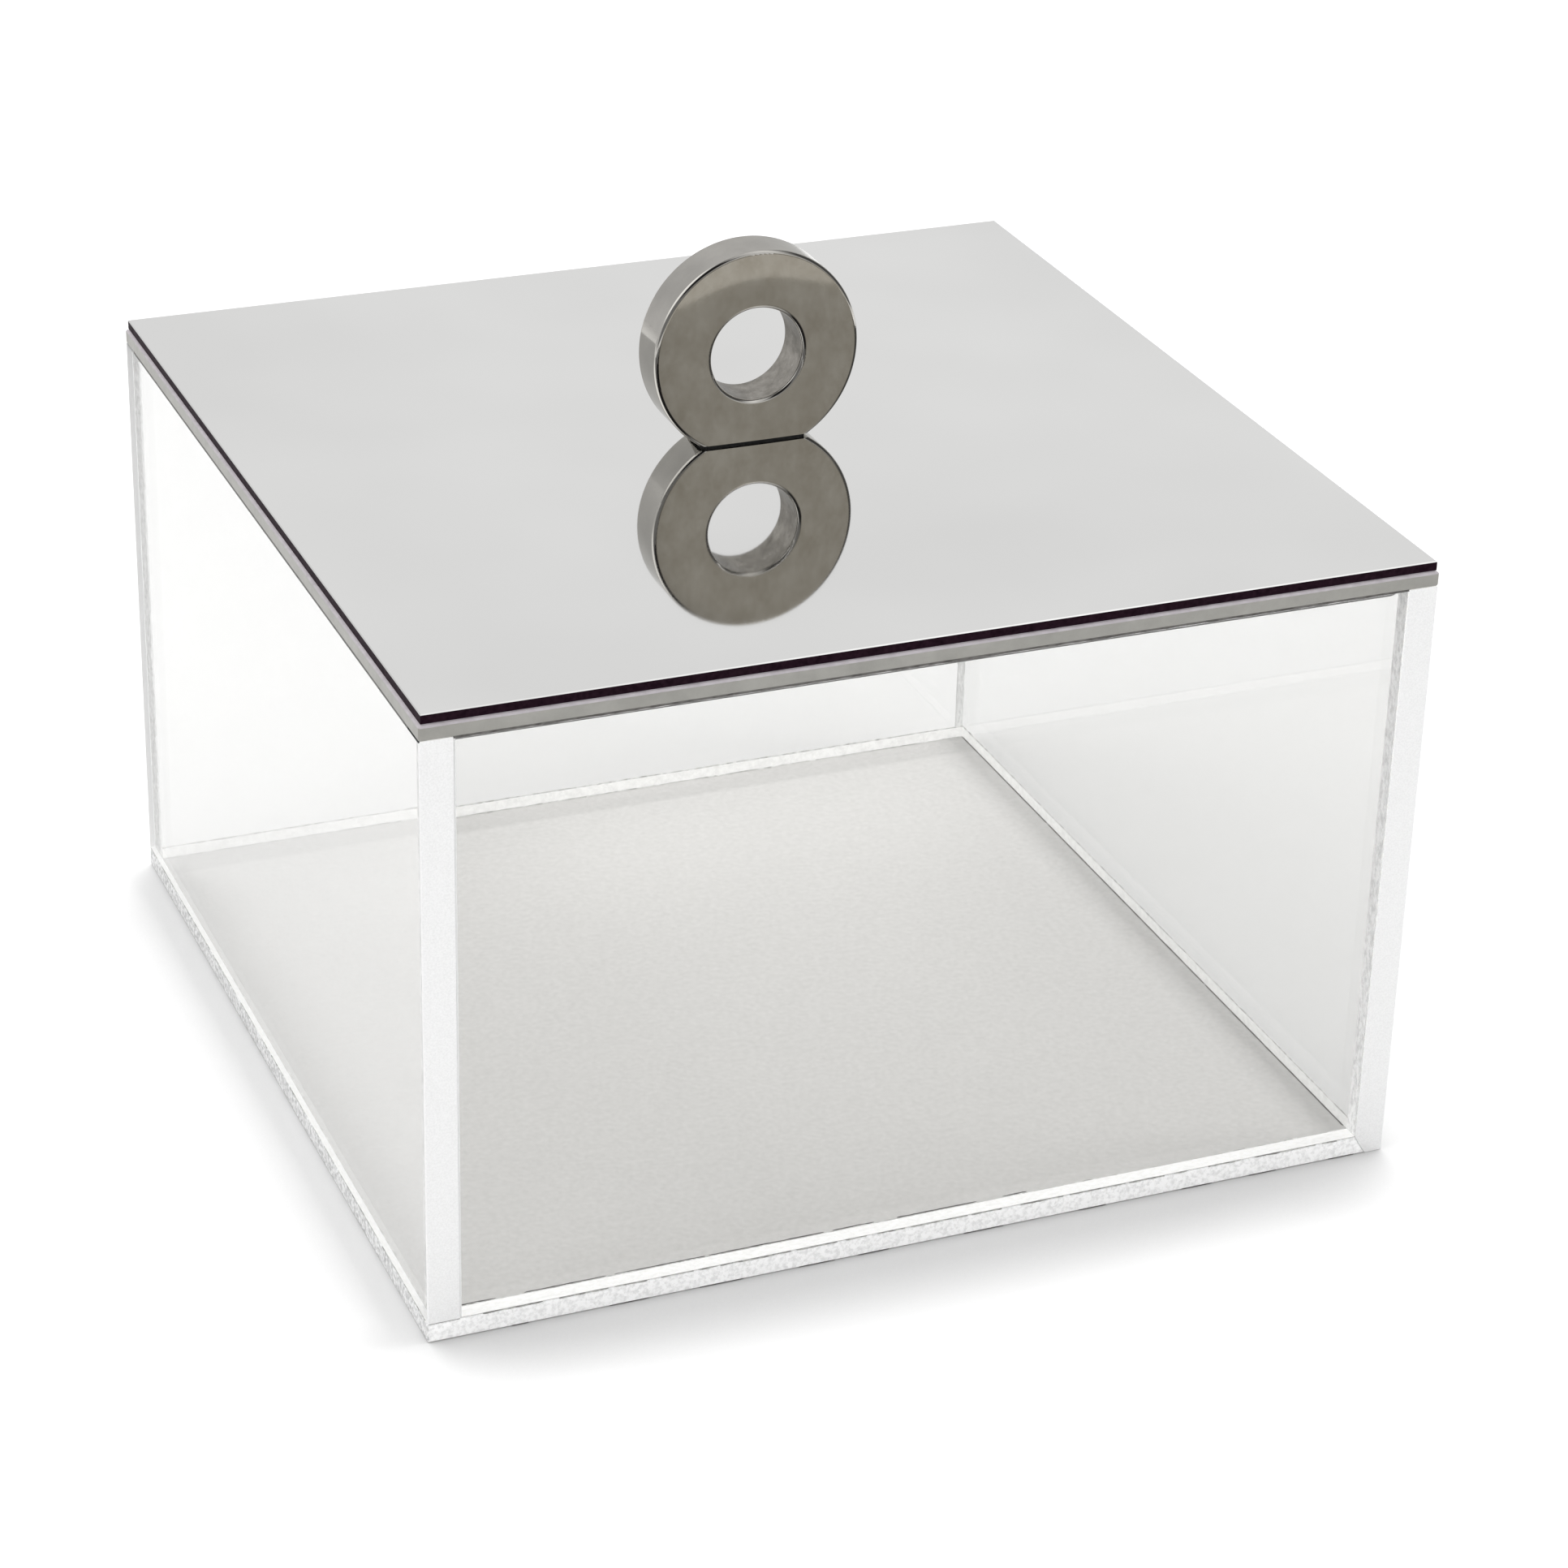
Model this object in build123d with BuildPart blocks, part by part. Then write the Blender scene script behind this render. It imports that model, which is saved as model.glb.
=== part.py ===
from build123d import *
import os

# A square clear acrylic display box with a lift-off mirror lid and a metal ring knob.
# Millimetres. +Z is up, the box stands on z = 0, and the front wall faces -Y.

# Case
SIDE = 203.2  # outside width and depth
WALL = 6.35  # wall sheet
BASE = 4.0  # base sheet
CASE_H = 125.5  # table to the rim
FOOT = 3.9  # width of the right wall's foot, where it reaches the table beside the base
CEMENT = 0.1  # cement film in the seams between the case sheets
EASE = 0.25  # edges broken on the case sheets

# Lid, from the rim up
LID_PANEL = 2.9
BOND = 0.3
MIRROR = 1.9
MIRROR_INSET = 0.5
BOND_INSET = 0.7
LID_EASE = 0.3
MIRROR_EASE = 0.2

# Locating plate, under the lid panel
LOCATOR = 3.0
LOCATOR_GAP = 0.5  # to each wall
LOCATOR_EASE = 0.5

# Ring knob, upright on its flat foot, with its hole along Y
RING_R = 21.7
RING_HOLE_R = 9.65
RING_W = 10.1
RING_CENTRE_H = 18.3  # foot to the ring's centre
RING_FLAT_R = 14.5  # the ring's faces are flat out to here, and crowned from here to the rim
RING_CROWN = 0.25  # fall of the crown at the rim
RING_EDGE_R = 0.9
RING_FOOT_R = 0.9
GASKET = 0.5
GASKET_INSET = 0.5

# Knob screws, M3 countersunk, driven up through the whole lid
SCREW_X = 6.0
SCREW_R = 1.5
SCREW_CLEAR_R = 1.7
SCREW_THREAD_R = 1.55
SCREW_HEAD_R = 2.8
SCREW_HEAD_SINK_R = 3.0
SCREW_IN_KNOB = 6.0
SCREW_HOLE_DEPTH = 7.0
SOCKET_R = 1.15
SOCKET_DEPTH = 0.8

HALF = SIDE / 2
INSIDE = HALF - WALL
WALL_Z = BASE + CEMENT
LOCATOR_Z = CASE_H - LOCATOR
BOND_Z = CASE_H + LID_PANEL
MIRROR_Z = BOND_Z + BOND
LID_TOP = MIRROR_Z + MIRROR
FOOT_Z = LID_TOP + GASKET
RING_Z = FOOT_Z + RING_CENTRE_H
FOOT_HALF = (RING_R**2 - RING_CENTRE_H**2) ** 0.5
SCREW_XS = (-SCREW_X, SCREW_X)

os.makedirs("parts", exist_ok=True)


def write(part, name):
    part.label = name
    export_step(part, f"parts/{name}.step")


def at_x(x):
    """Chooses the edges that lie in the plane at that x."""
    return lambda part: part.edges().filter_by_position(Axis.X, x, x)


def at_y(y):
    """Chooses the edges that lie in the plane at that y."""
    return lambda part: part.edges().filter_by_position(Axis.Y, y, y)


# Base panel: its right end is cut on a slant and meets the right wall's foot.
with BuildPart() as base_panel:
    with BuildSketch(Plane.XZ):
        with BuildLine():
            Polyline(
                (-HALF, 0),
                (HALF - FOOT - CEMENT, 0),
                (INSIDE - CEMENT, BASE),
                (-HALF, BASE),
                close=True,
            )
        make_face()
    extrude(amount=HALF, both=True)
    outer = at_x(-HALF)(base_panel) + at_y(-HALF)(base_panel) + at_y(HALF)(base_panel)
    chamfer(ShapeList(set(outer)), EASE)
write(base_panel.part, "base_panel")

# Side walls run the full depth, so their ends show beside the front and back walls.
with BuildPart() as left_wall:
    with BuildSketch(Plane.XY.offset(WALL_Z)):
        with Locations((-HALF, 0)):
            Rectangle(WALL, SIDE, align=(Align.MIN, Align.CENTER))
    extrude(amount=CASE_H - WALL_Z)
    chamfer(at_x(-HALF)(left_wall), EASE)
write(left_wall.part, "left_wall")

with BuildPart() as right_wall:
    with BuildSketch(Plane.XZ):
        with BuildLine():
            Polyline(
                (HALF - FOOT, 0),
                (HALF, 0),
                (HALF, CASE_H),
                (INSIDE, CASE_H),
                (INSIDE, BASE),
                close=True,
            )
        make_face()
    extrude(amount=HALF, both=True)
    chamfer(at_x(HALF)(right_wall), EASE)
write(right_wall.part, "right_wall")

# Front and back walls stand on the base, between the side walls.
for name, outside in (("front_wall", -HALF), ("back_wall", HALF)):
    inward = Align.MIN if outside < 0 else Align.MAX
    with BuildPart() as wall:
        with BuildSketch(Plane.XY.offset(WALL_Z)):
            with Locations((0, outside)):
                Rectangle(2 * (INSIDE - CEMENT), WALL, align=(Align.CENTER, inward))
        extrude(amount=CASE_H - WALL_Z)
        chamfer(at_y(outside)(wall), EASE)
    write(wall.part, name)

# Lid: locating plate, lid panel, bonding film and mirror plate, all drilled for the screws.
with BuildPart() as locating_plate:
    with BuildSketch(Plane.XY.offset(LOCATOR_Z)):
        Rectangle(2 * (INSIDE - LOCATOR_GAP), 2 * (INSIDE - LOCATOR_GAP))
    extrude(amount=LOCATOR)
    chamfer(locating_plate.edges().group_by(Axis.Z)[0], LOCATOR_EASE)
    with Locations(*[Plane((x, 0, LOCATOR_Z), z_dir=(0, 0, -1)) for x in SCREW_XS]):
        CounterSinkHole(SCREW_CLEAR_R, SCREW_HEAD_SINK_R, counter_sink_angle=90)
write(locating_plate.part, "locating_plate")

with BuildPart() as lid_panel:
    with BuildSketch(Plane.XY.offset(CASE_H)):
        Rectangle(SIDE, SIDE)
    extrude(amount=LID_PANEL)
    chamfer(lid_panel.edges(), LID_EASE)
    with Locations(*[(x, 0, BOND_Z) for x in SCREW_XS]):
        Hole(SCREW_CLEAR_R)
write(lid_panel.part, "lid_panel")

with BuildPart() as bond_film:
    with BuildSketch(Plane.XY.offset(BOND_Z)):
        Rectangle(SIDE - 2 * BOND_INSET, SIDE - 2 * BOND_INSET)
        with Locations(*[(x, 0) for x in SCREW_XS]):
            Circle(SCREW_CLEAR_R, mode=Mode.SUBTRACT)
    extrude(amount=BOND)
write(bond_film.part, "bond_film")

with BuildPart() as mirror_plate:
    with BuildSketch(Plane.XY.offset(MIRROR_Z)):
        Rectangle(SIDE - 2 * MIRROR_INSET, SIDE - 2 * MIRROR_INSET)
    extrude(amount=MIRROR)
    chamfer(mirror_plate.edges().group_by(Axis.Z)[-1], MIRROR_EASE)
    with Locations(*[(x, 0, LID_TOP) for x in SCREW_XS]):
        Hole(SCREW_CLEAR_R)
write(mirror_plate.part, "mirror_plate")

# Gasket between the mirror and the knob's foot
with BuildPart() as knob_gasket:
    with BuildSketch(Plane.XY.offset(LID_TOP)):
        RectangleRounded(2 * (FOOT_HALF - GASKET_INSET), RING_W - 2 * GASKET_INSET, 1.5)
        with Locations(*[(x, 0) for x in SCREW_XS]):
            Circle(SCREW_CLEAR_R, mode=Mode.SUBTRACT)
    extrude(amount=GASKET)
write(knob_gasket.part, "knob_gasket")

# Ring knob: a thick crowned ring cut flat where it stands, with two blind holes for the screws
with BuildPart() as ring_knob:
    with BuildSketch(Plane.XY.offset(RING_Z)) as section:
        with BuildLine():
            Line((RING_HOLE_R, 0), (RING_HOLE_R, -RING_W / 2))
            Line((RING_HOLE_R, -RING_W / 2), (RING_FLAT_R, -RING_W / 2))
            TangentArc(
                (RING_FLAT_R, -RING_W / 2),
                (RING_R, RING_CROWN - RING_W / 2),
                tangent=(1, 0),
            )
            Line((RING_R, RING_CROWN - RING_W / 2), (RING_R, 0))
            mirror(about=Plane.XZ)
        make_face()
        corners = section.vertices().group_by(Axis.X)[0] + section.vertices().group_by(Axis.X)[-1]
        fillet(corners.filter_by(lambda corner: abs(corner.Y) > RING_W / 4), RING_EDGE_R)
    revolve(axis=Axis((0, 0, RING_Z), (0, 1, 0)))
    with BuildSketch(Plane.XZ) as outline:
        with Locations((0, RING_Z)):
            Circle(RING_R)
        with Locations((0, FOOT_Z)):
            Rectangle(2 * RING_R, RING_R, align=(Align.CENTER, Align.MAX), mode=Mode.SUBTRACT)
        fillet(outline.vertices(), RING_FOOT_R)
    extrude(amount=RING_W, both=True, mode=Mode.INTERSECT)
    with Locations(*[Plane((x, 0, FOOT_Z), z_dir=(0, 0, -1)) for x in SCREW_XS]):
        Hole(SCREW_THREAD_R, depth=SCREW_HOLE_DEPTH)
write(ring_knob.part, "ring_knob")

# Knob screws, heads flush with the locating plate's underside
with BuildPart() as knob_screws:
    with Locations(*[(x, 0, LOCATOR_Z) for x in SCREW_XS]):
        Cylinder(
            SCREW_R,
            FOOT_Z + SCREW_IN_KNOB - LOCATOR_Z,
            align=(Align.CENTER, Align.CENTER, Align.MIN),
        )
        Cone(
            SCREW_HEAD_R,
            SCREW_R,
            SCREW_HEAD_R - SCREW_R,
            align=(Align.CENTER, Align.CENTER, Align.MIN),
        )
    with BuildSketch(Plane.XY.offset(LOCATOR_Z)):
        with Locations(*[(x, 0) for x in SCREW_XS]):
            RegularPolygon(SOCKET_R, 6)
    extrude(amount=SOCKET_DEPTH, mode=Mode.SUBTRACT)
write(knob_screws.part, "knob_screws")
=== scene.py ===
"""Looks for the lidded acrylic display box: materials, seams, light and camera around the CAD frame."""

import math
import random

import bmesh
import bpy
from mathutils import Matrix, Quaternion, Vector


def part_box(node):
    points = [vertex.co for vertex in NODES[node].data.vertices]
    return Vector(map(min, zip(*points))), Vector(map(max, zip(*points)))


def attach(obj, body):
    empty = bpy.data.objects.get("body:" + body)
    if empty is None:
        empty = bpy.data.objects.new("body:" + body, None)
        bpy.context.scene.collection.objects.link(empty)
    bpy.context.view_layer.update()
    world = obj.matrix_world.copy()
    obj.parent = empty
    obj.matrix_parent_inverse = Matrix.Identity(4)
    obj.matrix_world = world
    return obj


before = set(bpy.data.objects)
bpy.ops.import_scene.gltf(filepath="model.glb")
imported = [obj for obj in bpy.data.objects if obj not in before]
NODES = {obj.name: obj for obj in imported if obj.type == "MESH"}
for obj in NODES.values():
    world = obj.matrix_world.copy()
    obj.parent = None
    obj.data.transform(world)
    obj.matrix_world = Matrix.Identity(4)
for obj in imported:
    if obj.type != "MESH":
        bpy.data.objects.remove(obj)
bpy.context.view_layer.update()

MM = 0.001
RING_LOW, RING_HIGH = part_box("ring_knob")
RING_R = (RING_HIGH.x - RING_LOW.x) / 2
RING_CENTRE_Z = RING_HIGH.z - RING_R
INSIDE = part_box("right_wall")[0].x  # inner faces of the side walls
WALLS = ("front_wall", "back_wall", "left_wall", "right_wall")

# Camera: its aim, distance and angles, all about the object's own axes
AIM = Vector((10.3 * MM, 0, 49.9 * MM))
DISTANCE = 907 * MM
AZIMUTH = math.radians(-22.8)
ELEVATION = math.radians(26.9)
ROLL = math.radians(1.57)
LENS = 99.0  # on a 36 mm sensor


# ---------------------------------------------------------------- node helpers

class Nodes:
    """A short way to write a material's node tree."""

    def __init__(self, name):
        self.material = bpy.data.materials.new(name)
        self.material.use_nodes = True
        self.tree = self.material.node_tree
        self.shader = self.tree.nodes["Principled BSDF"]
        self.output = self.tree.nodes["Material Output"]

    def add(self, kind, **settings):
        node = self.tree.nodes.new(kind)
        for key, value in settings.items():
            setattr(node, key, value)
        return node

    def link(self, a, b):
        self.tree.links.new(a, b)

    def set(self, **values):
        """Sets constants on the shader's own sockets; underscores stand for spaces."""
        for key, value in values.items():
            self.shader.inputs[key.replace("_", " ")].default_value = value

    def place(self, scale=(1, 1, 1)):
        """The point on the surface, in metres, stretched by scale."""
        coords = self.add("ShaderNodeTexCoord")
        mapping = self.add("ShaderNodeMapping")
        mapping.inputs["Scale"].default_value = scale
        self.link(coords.outputs["Object"], mapping.inputs["Vector"])
        return mapping.outputs["Vector"]

    def noise(self, scale, detail=3.0, rough=0.55, stretch=(1, 1, 1)):
        texture = self.add("ShaderNodeTexNoise")
        texture.inputs["Scale"].default_value = scale
        texture.inputs["Detail"].default_value = detail
        texture.inputs["Roughness"].default_value = rough
        self.link(self.place(stretch), texture.inputs["Vector"])
        return texture.outputs["Fac"]

    def ramp(self, value, stops):
        """Colours along value; stops are (position, colour) pairs."""
        node = self.add("ShaderNodeValToRGB")
        elements = node.color_ramp.elements
        while len(elements) < len(stops):
            elements.new(0.5)
        for element, (position, colour) in zip(elements, stops):
            element.position = position
            element.color = (*colour, 1)
        self.link(value, node.inputs["Fac"])
        return node.outputs["Color"]

    def span(self, value, low, high, start=0.0, end=1.0):
        """Maps start..end of value to low..high."""
        node = self.add("ShaderNodeMapRange")
        node.inputs["From Min"].default_value = start
        node.inputs["From Max"].default_value = end
        node.inputs["To Min"].default_value = low
        node.inputs["To Max"].default_value = high
        self.link(value, node.inputs["Value"])
        return node.outputs["Result"]

    def bump(self, height, distance, strength=1.0):
        node = self.add("ShaderNodeBump")
        node.inputs["Distance"].default_value = distance
        node.inputs["Strength"].default_value = strength
        self.link(height, node.inputs["Height"])
        self.link(node.outputs["Normal"], self.shader.inputs["Normal"])

    def to(self, socket, output):
        self.link(output, self.shader.inputs[socket])

    def pass_light(self, factor, colour=(1, 1, 1, 1)):
        """Lets light straight through, in that colour, as far as factor says."""
        passed = self.add("ShaderNodeBsdfTransparent")
        passed.inputs["Color"].default_value = colour
        mix = self.add("ShaderNodeMixShader")
        self.link(factor, mix.inputs[0])
        self.link(self.shader.outputs[0], mix.inputs[1])
        self.link(passed.outputs[0], mix.inputs[2])
        self.link(mix.outputs[0], self.output.inputs["Surface"])


def grey(value):
    return (value, value, value)


# ------------------------------------------------------------------- materials

def clear_acrylic():
    """Polished cast acrylic with a very slight surface swell; its shadow is almost clear."""
    n = Nodes("clear_acrylic")
    n.set(Base_Color=(0.825, 0.825, 0.82, 1), Transmission_Weight=1.0, IOR=1.49, Roughness=0.0)
    n.bump(n.noise(9.0, 1.0), 0.00006)
    n.pass_light(n.add("ShaderNodeLightPath").outputs["Is Shadow Ray"], (0.98, 0.98, 0.98, 1))
    return n.material


def frosted_edge(name, glow, grain, dark, light):
    """Sawn acrylic edge, mottled from dark to light, with a painted glow that stands in for the light the
    sheet carries.
    """
    n = Nodes(name)
    n.set(IOR=1.49, Emission_Color=(1, 1, 0.99, 1), Emission_Strength=glow)
    fine = n.noise(grain, 5.0, 0.7)
    n.to("Base Color", n.ramp(fine, [(0.38, grey(dark)), (0.6, grey(light))]))
    n.to("Roughness", n.span(n.noise(900.0), 0.45, 0.75))
    n.bump(fine, 0.00008)
    return n.material


def base_top():
    """Floor of the case: satin sheet with a grain, painted pale grey as shade from the lid, and painted
    darker along its right and back seams.
    """
    n = Nodes("base_satin_painted_shade")
    n.set(IOR=1.49)
    grain = n.noise(800.0, 4.0, 0.65)
    place = n.add("ShaderNodeSeparateXYZ")
    n.link(n.place(), place.inputs["Vector"])
    # Painted shade: the floor's colour is darkened along the right and back walls.
    haze = n.add("ShaderNodeMixRGB", blend_type="MULTIPLY")
    haze.inputs["Fac"].default_value = 1.0
    right = n.span(place.outputs["X"], 1.0, 0.8, INSIDE - 10 * MM, INSIDE - 3 * MM)
    back = n.span(place.outputs["Y"], 1.0, 0.87, INSIDE - 8.5 * MM, INSIDE - 7 * MM)
    # The grey of this ramp stands in for the lid's shade, as the lid casts no shadow.
    n.link(n.ramp(grain, [(0.3, (0.645, 0.638, 0.624)), (0.7, (0.74, 0.732, 0.718))]), haze.inputs[1])
    edge = n.add("ShaderNodeMath", operation="MULTIPLY")
    n.link(right, edge.inputs[0])
    n.link(back, edge.inputs[1])
    n.link(edge.outputs["Value"], haze.inputs[2])
    n.to("Base Color", haze.outputs["Color"])
    n.to("Roughness", n.span(n.noise(120.0), 0.38, 0.5))
    n.bump(grain, 0.00002)
    return n.material


def lid_grey():
    """Lid panel and locating plate: clouded grey satin acrylic."""
    n = Nodes("lid_grey")
    n.set(IOR=1.49)
    cloud = n.noise(160.0, 4.0, 0.6)
    n.to("Base Color", n.ramp(cloud, [(0.3, (0.26, 0.256, 0.235)), (0.7, (0.32, 0.314, 0.291))]))
    n.to("Roughness", n.span(n.noise(700.0), 0.3, 0.5))
    n.bump(n.noise(2200.0, 3.0), 0.00003)
    return n.material


def bond_and_painted_highlight():
    """Bonding film, and the lid panel's top that it clings to, in a lighter mauve that also stands for a
    painted highlight along the lid's top edge.
    """
    n = Nodes("bond_and_painted_highlight")
    n.set(IOR=1.45)
    n.to("Base Color", n.ramp(n.noise(500.0), [(0.3, (0.34, 0.315, 0.335)), (0.7, (0.42, 0.395, 0.415))]))
    n.to("Roughness", n.span(n.noise(900.0), 0.4, 0.6))
    return n.material


def mirror_face():
    """First-surface mirror: bright, almost flat, with the finest haze."""
    n = Nodes("mirror_face")
    n.set(Metallic=1.0)
    haze = n.noise(1500.0, 3.0, 0.6)
    cloud = n.noise(7.0, 3.0, 0.6)
    n.to("Base Color", n.ramp(cloud, [(0.35, (0.82, 0.818, 0.81)), (0.65, (0.89, 0.889, 0.88))]))
    n.to("Roughness", n.span(haze, 0.02, 0.05))
    n.bump(n.noise(14.0, 1.0), 0.00004)
    return n.material


def mirror_edge():
    """Dark edge and backing paint of the mirror plate."""
    n = Nodes("mirror_edge")
    n.set(IOR=1.1, Specular_IOR_Level=0.12)
    n.to("Base Color", n.ramp(n.noise(900.0), [(0.3, (0.008, 0.003, 0.006)), (0.7, (0.02, 0.009, 0.015))]))
    n.to("Roughness", n.span(n.noise(500.0), 0.25, 0.45))
    n.bump(n.noise(1500.0), 0.00003)
    return n.material


def gasket_black():
    """Matte black rubber."""
    n = Nodes("gasket_black")
    n.set(IOR=1.5)
    n.to("Base Color", n.ramp(n.noise(2500.0), [(0.3, grey(0.006)), (0.7, grey(0.018))]))
    n.to("Roughness", n.span(n.noise(1800.0), 0.65, 0.85))
    n.bump(n.noise(3000.0), 0.00003)
    return n.material


def brushed_nickel():
    """Ring faces: fine upright brushing in warm grey nickel."""
    n = Nodes("brushed_nickel")
    n.set(Metallic=1.0)
    lines = n.noise(420.0, 5.0, 0.7, stretch=(9, 1, 0.35))
    cloud = n.noise(210.0, 5.0, 0.7, stretch=(1, 1, 0.7))
    n.to("Base Color", n.ramp(cloud, [(0.32, (0.229, 0.209, 0.172)), (0.68, (0.29, 0.272, 0.234))]))
    n.to("Roughness", n.span(lines, 0.06, 0.11))
    n.bump(lines, 0.000002)
    return n.material


def polished_nickel():
    """Ring rim: the same metal, polished."""
    n = Nodes("polished_nickel")
    n.set(Metallic=1.0, Specular_Tint=(0.8, 0.8, 0.79, 1))
    cloud = n.noise(150.0, 3.0, 0.6)
    n.to("Base Color", n.ramp(cloud, [(0.3, (0.45, 0.435, 0.41)), (0.7, (0.51, 0.495, 0.465))]))
    n.to("Roughness", n.span(n.noise(600.0, 4.0), 0.05, 0.12))
    n.bump(n.noise(70.0, 2.0), 0.00002)
    return n.material


def bore_nickel():
    """The ring's hole: left rougher and darker than the rim."""
    n = Nodes("bore_nickel")
    n.set(Metallic=1.0, Specular_Tint=(0.6, 0.6, 0.6, 1))
    cloud = n.noise(420.0, 4.0, 0.65)
    n.to("Base Color", n.ramp(cloud, [(0.3, (0.265, 0.25, 0.226)), (0.65, (0.435, 0.414, 0.38))]))
    n.to("Roughness", n.span(cloud, 0.18, 0.32))
    n.bump(cloud, 0.00005)
    return n.material


def screw_steel():
    """Turned steel."""
    n = Nodes("screw_steel")
    n.set(Metallic=1.0)
    n.to("Base Color", n.ramp(n.noise(900.0), [(0.3, grey(0.52)), (0.7, grey(0.62))]))
    n.to("Roughness", n.span(n.noise(1500.0, stretch=(1, 1, 4)), 0.2, 0.35))
    n.bump(n.noise(2500.0), 0.00001)
    return n.material


def cement(name, scale, dark, light, glow=0.0):
    """Cured cement with small bubbles and dull patches, and a painted glow that stands in for light from
    inside the sheet.
    """
    n = Nodes(name)
    n.set(IOR=1.48, Emission_Color=(1, 1, 0.99, 1), Emission_Strength=glow)
    patches = n.noise(scale, 5.0, 0.7)
    n.to("Base Color", n.ramp(patches, [(0.38, dark), (0.58, light)]))
    n.to("Roughness", n.span(patches, 0.4, 0.75))
    n.bump(patches, 0.00005)
    return n.material


CLEAR = clear_acrylic()
CEMENT = cement("cement_pale", 620.0, (0.38, 0.38, 0.365), (0.92, 0.92, 0.91))
# This cement's glow is painted light.
FILM = cement("cement_painted_glow", 700.0, (0.82, 0.82, 0.81), (0.95, 0.95, 0.94), 0.22)
CEMENT_GREY = cement("cement_grey", 380.0, (0.22, 0.22, 0.21), (0.62, 0.62, 0.60))
# Dark cement for a joint line, and as painted shade in grooves, corners and along the locating plate's
# edges.
JOINT_AND_SHADE_DARK = cement("joint_and_shade_dark", 500.0, (0.05, 0.046, 0.042), (0.13, 0.125, 0.118))
# The glow on the sawn edges and cemented ends is painted light.
FROSTED = frosted_edge("sawn_edge", 0.01, 2600.0, 0.78, 0.85)
BASE_EDGE = frosted_edge("mottled_edge_painted_glow", 0.17, 1100.0, 0.62, 0.88)
# A darker copy of the base edge without glow: painted shade on the left side.
BASE_SIDE_SHADED = frosted_edge("mottled_side_painted_shade", 0.0, 1100.0, 0.45, 0.88)
JOINT = frosted_edge("cemented_end_painted_glow", 0.26, 560.0, 0.5, 0.88)
BASE_TOP_SHADED = base_top()
LID_GREY = lid_grey()
BOND_AND_HIGHLIGHT = bond_and_painted_highlight()
MIRROR_FACE = mirror_face()
MIRROR_EDGE = mirror_edge()
GASKET = gasket_black()
BRUSHED = brushed_nickel()
POLISHED = polished_nickel()
BORE = bore_nickel()
STEEL = screw_steel()


FLAT = 0.97  # a face counts as square to an axis when its normal lies this far along it


def paint(node, materials, choose=lambda polygon: 0):
    """Gives a CAD node its materials; choose returns a polygon's place in the list."""
    mesh = NODES[node].data
    mesh.materials.clear()
    for material in materials:
        mesh.materials.append(material)
    for polygon in mesh.polygons:
        polygon.material_index = choose(polygon)


def wall_faces(through):
    """Clear faces and upper chamfers, sawn rim and ends, cemented ends between two walls, and the foot.

    through is the axis that runs through the wall's thickness.
    """
    between = through == 1

    def choose(polygon):
        normal = polygon.normal
        if abs(normal[through]) > 0.99 or 0.3 < normal.z < 0.99:
            return 0
        if normal.z < -0.9:
            return 3
        return 2 if between and abs(normal.x) > 0.99 else 1

    return choose


def base_faces(polygon):
    """Satin floor, and sawn edges; the left edges take a darker copy without the glow, as painted shade."""
    if polygon.normal.z > FLAT:
        return 0
    return 2 if polygon.normal.x < -0.5 else 1


def plate_faces(polygon):
    """Level faces, and the edges between them."""
    return 0 if abs(polygon.normal.z) > FLAT else 1


def upper_faces(polygon):
    """Faces that look up, and all others."""
    return 0 if polygon.normal.z > 0.5 else 1


def ring_faces(polygon):
    """Brushed front and back, polished rim, and a rough bore."""
    if abs(polygon.normal.y) > FLAT:
        return 0
    outward = polygon.center - Vector((0, 0, RING_CENTRE_Z))
    outward.y = 0
    in_bore = outward.length < RING_R / 2 and abs(polygon.normal.y) < 0.3
    return 2 if in_bore else 1


for wall in WALLS:
    through = 1 if wall in ("front_wall", "back_wall") else 0
    # The walls' sawn rims, cemented ends and feet carry a painted glow.
    paint(wall, [CLEAR, FROSTED, JOINT, FILM], wall_faces(through))
for part in ("lid_panel", "bond_film", "mirror_plate", "locating_plate"):
    NODES[part].visible_shadow = False  # the soft light fills the case as if the lid passed it
paint("base_panel", [BASE_TOP_SHADED, BASE_EDGE, BASE_SIDE_SHADED], base_faces)
# The plate's edges take the dark material as painted shade.
paint("locating_plate", [LID_GREY, JOINT_AND_SHADE_DARK], plate_faces)
# The lid panel's upward faces take the lighter mauve: a painted highlight along its top edge.
paint("lid_panel", [BOND_AND_HIGHLIGHT, LID_GREY], upper_faces)
paint("bond_film", [BOND_AND_HIGHLIGHT])
paint("mirror_plate", [MIRROR_FACE, MIRROR_EDGE], upper_faces)
paint("knob_gasket", [GASKET])
paint("ring_knob", [BRUSHED, POLISHED, BORE], ring_faces)
paint("knob_screws", [STEEL])


# ------------------------------------------------------- cement in the seams, and dark lines of painted shade

BASE_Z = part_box("base_panel")[1].z
FOOT_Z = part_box("front_wall")[0].z
RIM_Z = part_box("front_wall")[1].z
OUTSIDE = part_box("front_wall")[0].y  # the case's outer faces lie at plus and minus this
SEAM_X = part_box("front_wall")[1].x  # ends of the front and back walls
SEAM_MID_Z = (BASE_Z + FOOT_Z) / 2
SEAM_MID_X = (SEAM_X + INSIDE) / 2
SHORT = 0.3 * MM  # the cement ends this far inside the outer faces
rng = random.Random(11)


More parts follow.
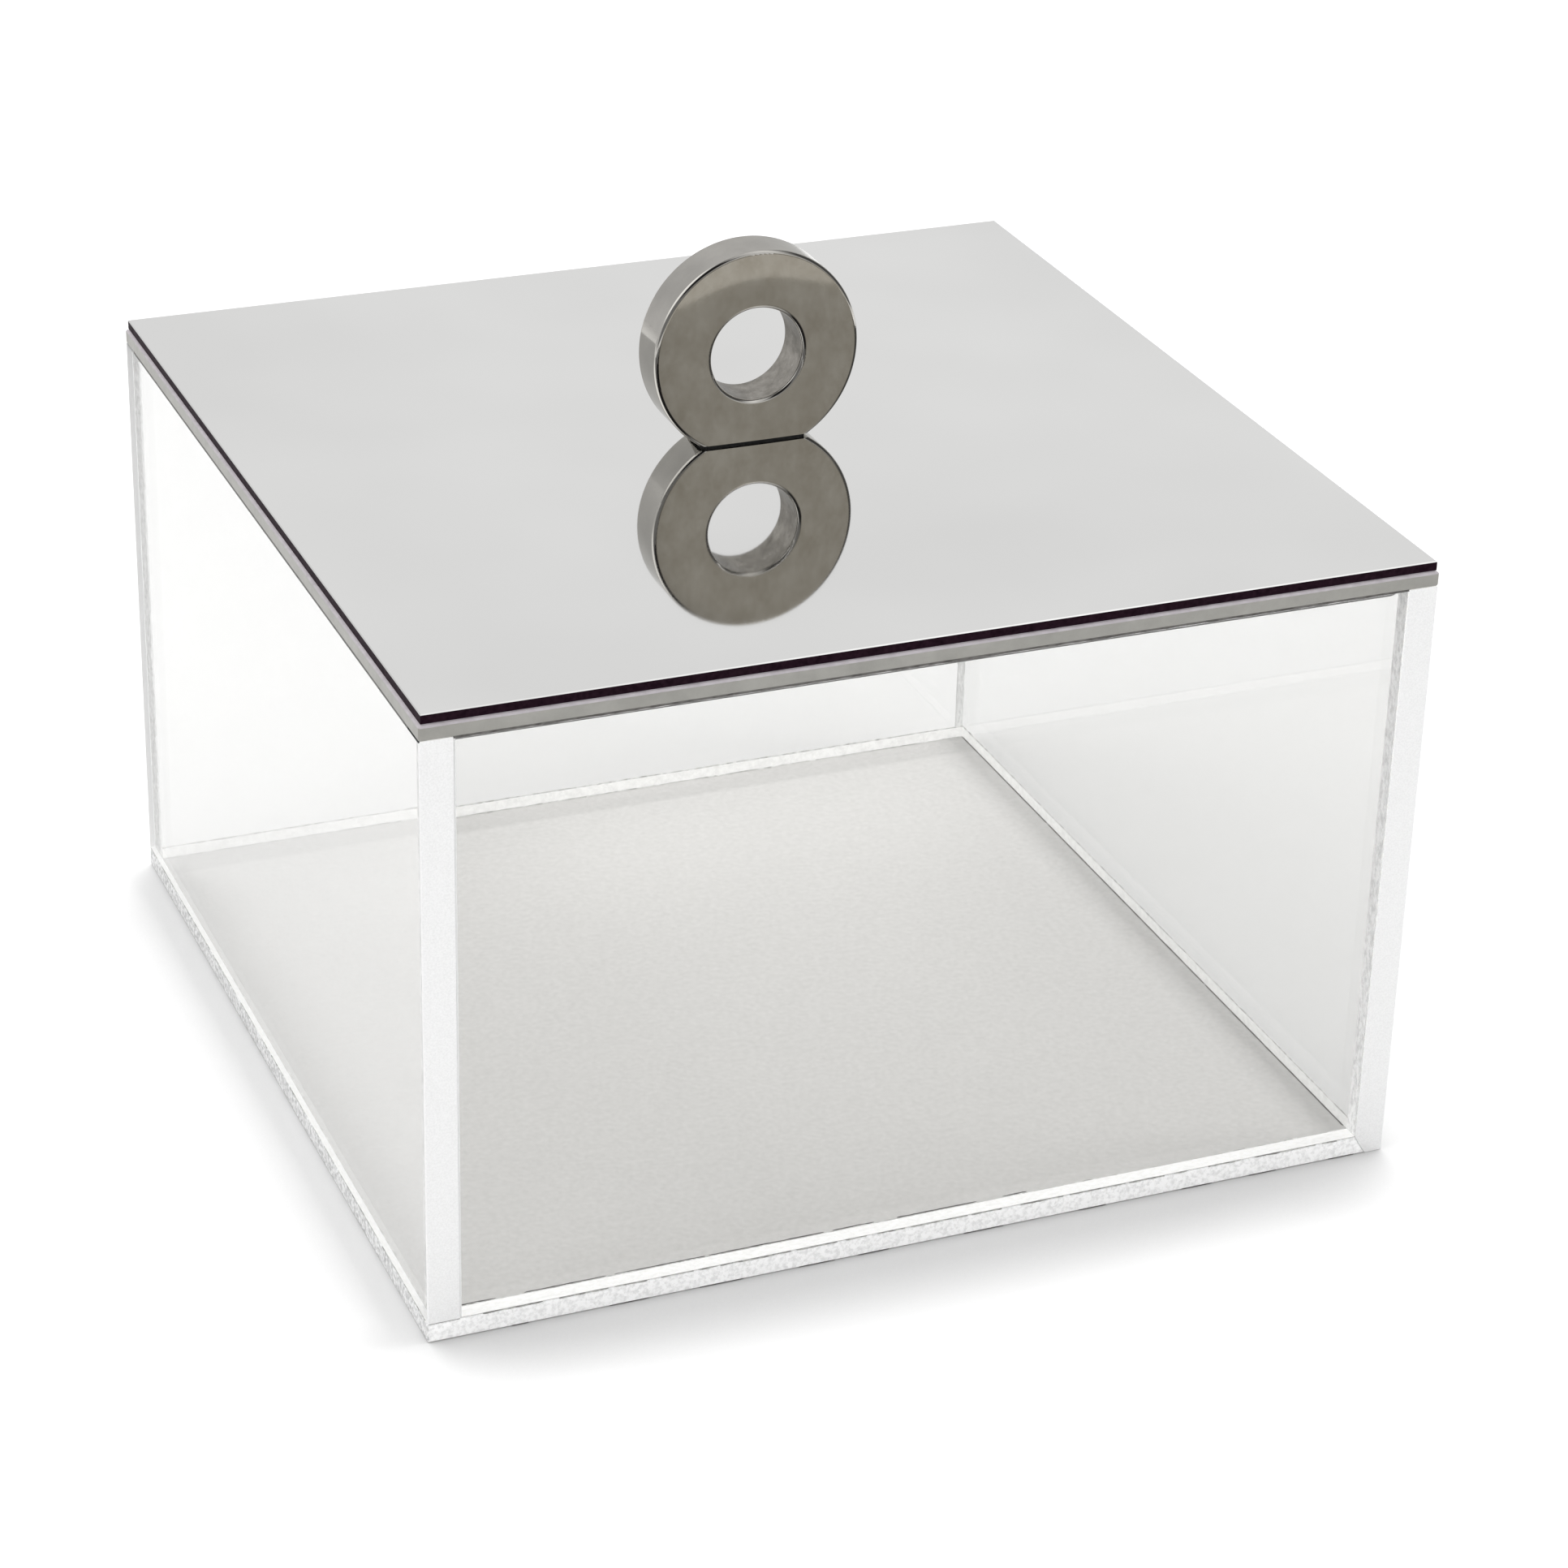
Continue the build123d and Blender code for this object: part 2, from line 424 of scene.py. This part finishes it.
def wander(start, end, step, across, up, stray):
    """Stations along a seam: its distance, two edges across and two up.

    Each edge strays at random by up to its own amount in stray.
    """
    count = max(3, round((end - start) / step))
    drift = [0.0] * 4
    for i in range(count + 1):
        drift = [0.55 * d + 0.45 * rng.uniform(-1, 1) for d in drift]
        edges = [edge + d * amount for edge, d, amount in zip((*across, *up), drift, stray)]
        yield (start + (end - start) * i / count, *edges)


def add_strip(bm, place, stations):
    """Closes a thin four-sided strip around its stations."""
    rings = []
    for along, near, far, low, high in stations:
        corners = ((near, low), (far, low), (far, high), (near, high))
        rings.append([bm.verts.new(place(along, a, b)) for a, b in corners])
    for first, second in zip(rings, rings[1:]):
        for i in range(4):
            bm.faces.new((first[i], first[(i + 1) % 4], second[(i + 1) % 4], second[i]))
    bm.faces.new(rings[0][::-1])
    bm.faces.new(rings[-1])


def add_beads(bm, place, start, end, across, up, stray, lengths, gaps):
    """Broken runs of bead, each thinned at both of its ends."""
    at = start + rng.uniform(*gaps)
    while at < end:
        stop = min(end, at + rng.uniform(*lengths))
        stations = list(wander(at, stop, 0.7 * MM, across, up, stray))
        last = len(stations) - 1
        for i in (0, last):
            along, near, far, low, high = stations[i]
            middle = (low + high) / 2
            stations[i] = (along, near, far, middle - 0.01 * MM, middle + 0.01 * MM)
        add_strip(bm, place, stations)
        at = stop + rng.uniform(*gaps)


def finish_seam(name, bm, material, body="case"):
    """Makes the piece and lets it ride on its body."""
    bmesh.ops.recalc_face_normals(bm, faces=bm.faces)
    mesh = bpy.data.meshes.new(name)
    bm.to_mesh(mesh)
    bm.free()
    mesh.materials.append(material)
    piece = bpy.data.objects.new(name, mesh)
    bpy.context.scene.collection.objects.link(piece)
    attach(piece, body)


def along_x(along, across, up):
    return Vector((along, across, up))


def along_y(along, across, up):
    return Vector((across, along, up))


def along_z(along, across, up):
    return Vector((up, across, along))


def cement_film():
    """Cured cement between the sheets, ending a little short of their outer faces."""
    bm = bmesh.new()
    thin = 0.03 * MM
    depth = abs(OUTSIDE) - INSIDE
    foot_up = (SEAM_MID_Z - thin, SEAM_MID_Z + thin)
    for side in (-1, 1):
        outer = side * (abs(OUTSIDE) - SHORT)
        inner = side * (INSIDE - 0.25 * MM)
        for place, end in ((along_x, SEAM_X - 0.1 * MM), (along_y, abs(OUTSIDE) - SHORT)):
            if place is along_y and side == 1:
                continue  # the right wall's joint is slanted and has no foot film
            add_strip(bm, place, wander(-end, end, 1.1 * MM, (outer, inner), foot_up, (0, 0.35 * MM, 0, 0)))
        for face in (-1, 1):
            across = (outer, side * (abs(OUTSIDE) - 0.75 * depth))
            up = (face * SEAM_MID_X - thin, face * SEAM_MID_X + thin)
            rise = wander(FOOT_Z + 0.1 * MM, RIM_Z - 0.4 * MM, 0.9 * MM, across, up, (0, 1.2 * MM, 0, 0))
            add_strip(bm, along_z, rise)
    return bm


def foot_beads():
    """Broken grey line on the outside, along the joint between the base and the walls."""
    bm = bmesh.new()
    up = (SEAM_MID_Z - 0.09 * MM, SEAM_MID_Z + 0.09 * MM)
    stray = (0, 0, 0.2 * MM, 0.2 * MM)
    runs = (3 * MM, 16 * MM)
    for side in (-1, 1):
        across = (side * (abs(OUTSIDE) - 0.03 * MM), side * (abs(OUTSIDE) - SHORT))
        add_beads(bm, along_x, -INSIDE, INSIDE, across, up, stray, runs, (0.4 * MM, 5 * MM))
        if side == -1:
            add_beads(bm, along_y, OUTSIDE, -OUTSIDE, across, up, stray, runs, (0.4 * MM, 7 * MM))
    return bm


def shade_and_joint_lines():
    """Thin dark lines: painted shade along the floor's front and right edges and at the table contact, and a
    dark joint at the left wall's foot.
    """
    bm = bmesh.new()
    up = (BASE_Z + 0.01 * MM, BASE_Z + 0.13 * MM)
    stray = (0.05 * MM, 0.05 * MM, 0, 0.08 * MM)
    edge = INSIDE - 0.55 * MM
    near = (-edge - 0.1 * MM, -edge + 0.05 * MM)
    add_beads(bm, along_x, -edge, edge / 4, near, up, stray, (4 * MM, 26 * MM), (0.5 * MM, 6 * MM))
    right = (INSIDE - 0.3 * MM, INSIDE - 0.08 * MM)
    add_beads(bm, along_y, -edge, edge, right, up, stray, (30 * MM, 90 * MM), (0.3 * MM, 1 * MM))
    front = (OUTSIDE + 0.03 * MM, OUTSIDE + SHORT)
    ragged = (0, 0, 0.06 * MM, 0.06 * MM)
    foot = (SEAM_MID_Z - 0.08 * MM, SEAM_MID_Z + 0.08 * MM)
    add_strip(bm, along_x, wander(OUTSIDE + SHORT, -INSIDE, 0.8 * MM, front, foot, ragged))
    # Painted contact shadow where the front meets the table.
    ground = (0.02 * MM, 0.1 * MM)
    uneven = (0, 0, 0, 0.12 * MM)
    add_beads(bm, along_x, -INSIDE, INSIDE, front, ground, uneven, (1.5 * MM, 9 * MM), (4 * MM, 22 * MM))
    return bm


def wicked_film(low, high, stray):
    """A band along the foot of the right and back walls' inner faces."""
    bm = bmesh.new()
    near = INSIDE - 0.08 * MM
    far = INSIDE - 0.02 * MM
    up = (BASE_Z + low, BASE_Z + high)
    for place in (along_x, along_y):
        add_strip(bm, place, wander(-near, near, 1.5 * MM, (near, far), up, (0, 0, *stray)))
    return bm


def rim_shade_line():
    """Dark ragged line of painted shade in the groove between the lid panel and the front and left walls."""
    bm = bmesh.new()
    across = (OUTSIDE + 0.01 * MM, OUTSIDE + 0.09 * MM)
    up = (RIM_Z - 0.2 * MM, RIM_Z + 0.24 * MM)
    stray = (0, 0, 0.1 * MM, 0.02 * MM)
    for place in (along_x, along_y):
        add_strip(bm, place, wander(-INSIDE, INSIDE, 1.2 * MM, across, up, stray))
    return bm


finish_seam("cement_film", cement_film(), CEMENT)
# The band takes the bright cement with its painted glow.
finish_seam("wicked_film", wicked_film(0.15 * MM, 2.5 * MM, (0, 0.12 * MM)), FILM)
finish_seam("film_edge", wicked_film(2.62 * MM, 2.9 * MM, (0.12 * MM, 0.12 * MM)), CEMENT)
finish_seam("rim_shade_line", rim_shade_line(), JOINT_AND_SHADE_DARK, "lid")
finish_seam("foot_beads", foot_beads(), CEMENT_GREY)
finish_seam("shade_and_joint_lines", shade_and_joint_lines(), JOINT_AND_SHADE_DARK)


# ------------------------------------------------------------------ the setting

def make_floor():
    """A large pale table top with a painted shadow close to the box, fading into the white far out."""
    size = 6.0
    bm = bmesh.new()
    corners = [bm.verts.new((x * size, y * size, -0.0001)) for x, y in ((-1, -1), (1, -1), (1, 1), (-1, 1))]
    bm.faces.new(corners)
    mesh = bpy.data.meshes.new("floor")
    bm.to_mesh(mesh)
    bm.free()
    floor = bpy.data.objects.new("floor", mesh)
    bpy.context.scene.collection.objects.link(floor)
    n = Nodes("pale_table")
    n.set(Roughness=0.9, Specular_IOR_Level=0.2)
    # Painted contact shadow: ambient occlusion, aimed towards the back right so only the front and left
    # darken, sets the table's colour.
    near = n.add("ShaderNodeAmbientOcclusion", samples=16)
    near.inputs["Distance"].default_value = 0.028
    aim = n.add("ShaderNodeCombineXYZ")
    for socket, value in zip(aim.inputs, (0.3, 0.8, 0.5)):
        socket.default_value = value
    n.link(aim.outputs["Vector"], near.inputs["Normal"])
    n.to("Base Color", n.ramp(near.outputs["AO"], [(0.3, grey(0.5)), (0.83, grey(0.86))]))
    spread = n.add("ShaderNodeVectorMath", operation="LENGTH")
    n.link(n.place(), spread.inputs[0])
    n.pass_light(n.span(spread.outputs["Value"], 0.0, 1.0, 0.8, 1.7))
    mesh.materials.append(n.material)


def make_world():
    """A pale studio: white to the camera, also through the walls, and softly graded light from all round."""
    world = bpy.data.worlds.new("studio")
    bpy.context.scene.world = world
    world.use_nodes = True
    tree = world.node_tree
    tree.nodes.clear()
    coords = tree.nodes.new("ShaderNodeTexCoord")
    output = tree.nodes.new("ShaderNodeOutputWorld")
    seen = tree.nodes.new("ShaderNodeBackground")
    seen.inputs["Color"].default_value = (1, 1, 1, 1)
    seen.inputs["Strength"].default_value = 1.05
    lit = tree.nodes.new("ShaderNodeBackground")
    lit.inputs["Color"].default_value = (1, 1, 1, 1)
    path = tree.nodes.new("ShaderNodeLightPath")
    mix = tree.nodes.new("ShaderNodeMixShader")

    def math_node(operation, a, b):
        node = tree.nodes.new("ShaderNodeMath")
        node.operation = operation
        for socket, value in zip(node.inputs, (a, b)):
            if isinstance(value, (int, float)):
                socket.default_value = value
            else:
                tree.links.new(value, socket)
        return node.outputs[0]

    def lobe(azimuth, elevation, inner, outer):
        """1 within inner degrees of a direction, falling to 0 at outer degrees."""
        a, e = math.radians(azimuth), math.radians(elevation)
        dot = tree.nodes.new("ShaderNodeVectorMath")
        dot.operation = "DOT_PRODUCT"
        dot.inputs[1].default_value = (math.sin(a) * math.cos(e), -math.cos(a) * math.cos(e), math.sin(e))
        tree.links.new(coords.outputs["Generated"], dot.inputs[0])
        fall = tree.nodes.new("ShaderNodeMapRange")
        fall.interpolation_type = "SMOOTHSTEP"
        fall.inputs["From Min"].default_value = math.cos(math.radians(outer))
        fall.inputs["From Max"].default_value = math.cos(math.radians(inner))
        tree.links.new(dot.outputs["Value"], fall.inputs["Value"])
        return fall.outputs["Result"]

    level = 0.8
    for azimuth, elevation, inner, outer, gain in LOBES:
        level = math_node("ADD", level, math_node("MULTIPLY", lobe(azimuth, elevation, inner, outer), gain))
    tree.links.new(math_node("MAXIMUM", level, 0.02), lit.inputs["Strength"])
    direct = math_node("MAXIMUM", path.outputs["Is Camera Ray"], path.outputs["Is Transmission Ray"])
    tree.links.new(direct, mix.inputs[0])
    tree.links.new(lit.outputs[0], mix.inputs[1])
    tree.links.new(seen.outputs[0], mix.inputs[2])
    tree.links.new(mix.outputs[0], output.inputs["Surface"])


# Each lobe: azimuth and elevation of its middle, its inner and outer radius in degrees, and its gain.
LOBES = [
    (-100, 42, 15, 35, 0.9),
    (-40, 18, 25, 55, -0.55),
    (-145, 25, 10, 28, -0.12),
    (-15, 55, 15, 40, -0.6),
    (82, 22, 22, 48, -0.7),
    (39, 58, 12, 30, 0.6),
    (28, 26, 14, 30, 0.1),
]


def make_lights():
    """A broad overhead softbox, fills from the front and the right, and a strip for the floor's back."""
    for name, place, aim, width, depth, power in LAMPS:
        light = bpy.data.lights.new(name, "AREA")
        light.shape = "RECTANGLE"
        light.size = width
        light.size_y = depth
        light.energy = power
        lamp = bpy.data.objects.new(name, light)
        bpy.context.scene.collection.objects.link(lamp)
        lamp.location = place
        lamp.rotation_mode = "QUATERNION"
        lamp.rotation_quaternion = (Vector(aim) - lamp.location).to_track_quat("-Z", "Y")
        for kind in ("camera", "glossy", "transmission"):
            setattr(lamp, f"visible_{kind}", False)


# Each lamp: its name, place and aim in metres, width, depth and power in watts.
LAMPS = [
    ("softbox", (-0.2, 0.25, 1.7), (0, 0, 0), 1.8, 1.5, 22),
    ("strip", (0.03, 0.072, 0.06), (0.03, 0.0719, 0), 0.13, 0.02, 0.016),
    ("fill", (-0.6, -1.5, 0.5), (0, 0, 0.06), 1.2, 0.8, 7.5),
    ("side", (1.25, -0.1, 0.9), (0.08, 0, 0), 0.8, 0.6, 8.5),
]


def make_camera():
    """The photograph's viewpoint."""
    back = Vector((
        math.sin(AZIMUTH) * math.cos(ELEVATION),
        -math.cos(AZIMUTH) * math.cos(ELEVATION),
        math.sin(ELEVATION),
    ))
    data = bpy.data.cameras.new("camera")
    data.lens = LENS
    data.sensor_width = 36
    data.clip_start = 0.01
    camera = bpy.data.objects.new("camera", data)
    bpy.context.scene.collection.objects.link(camera)
    camera.location = AIM + back * DISTANCE
    camera.rotation_mode = "QUATERNION"
    level = (-back).to_track_quat("-Z", "Y")
    camera.rotation_quaternion = level @ Quaternion((0, 0, 1), ROLL)
    bpy.context.scene.camera = camera


make_floor()
make_world()
make_lights()
make_camera()
bpy.context.scene.view_settings.view_transform = "Standard"
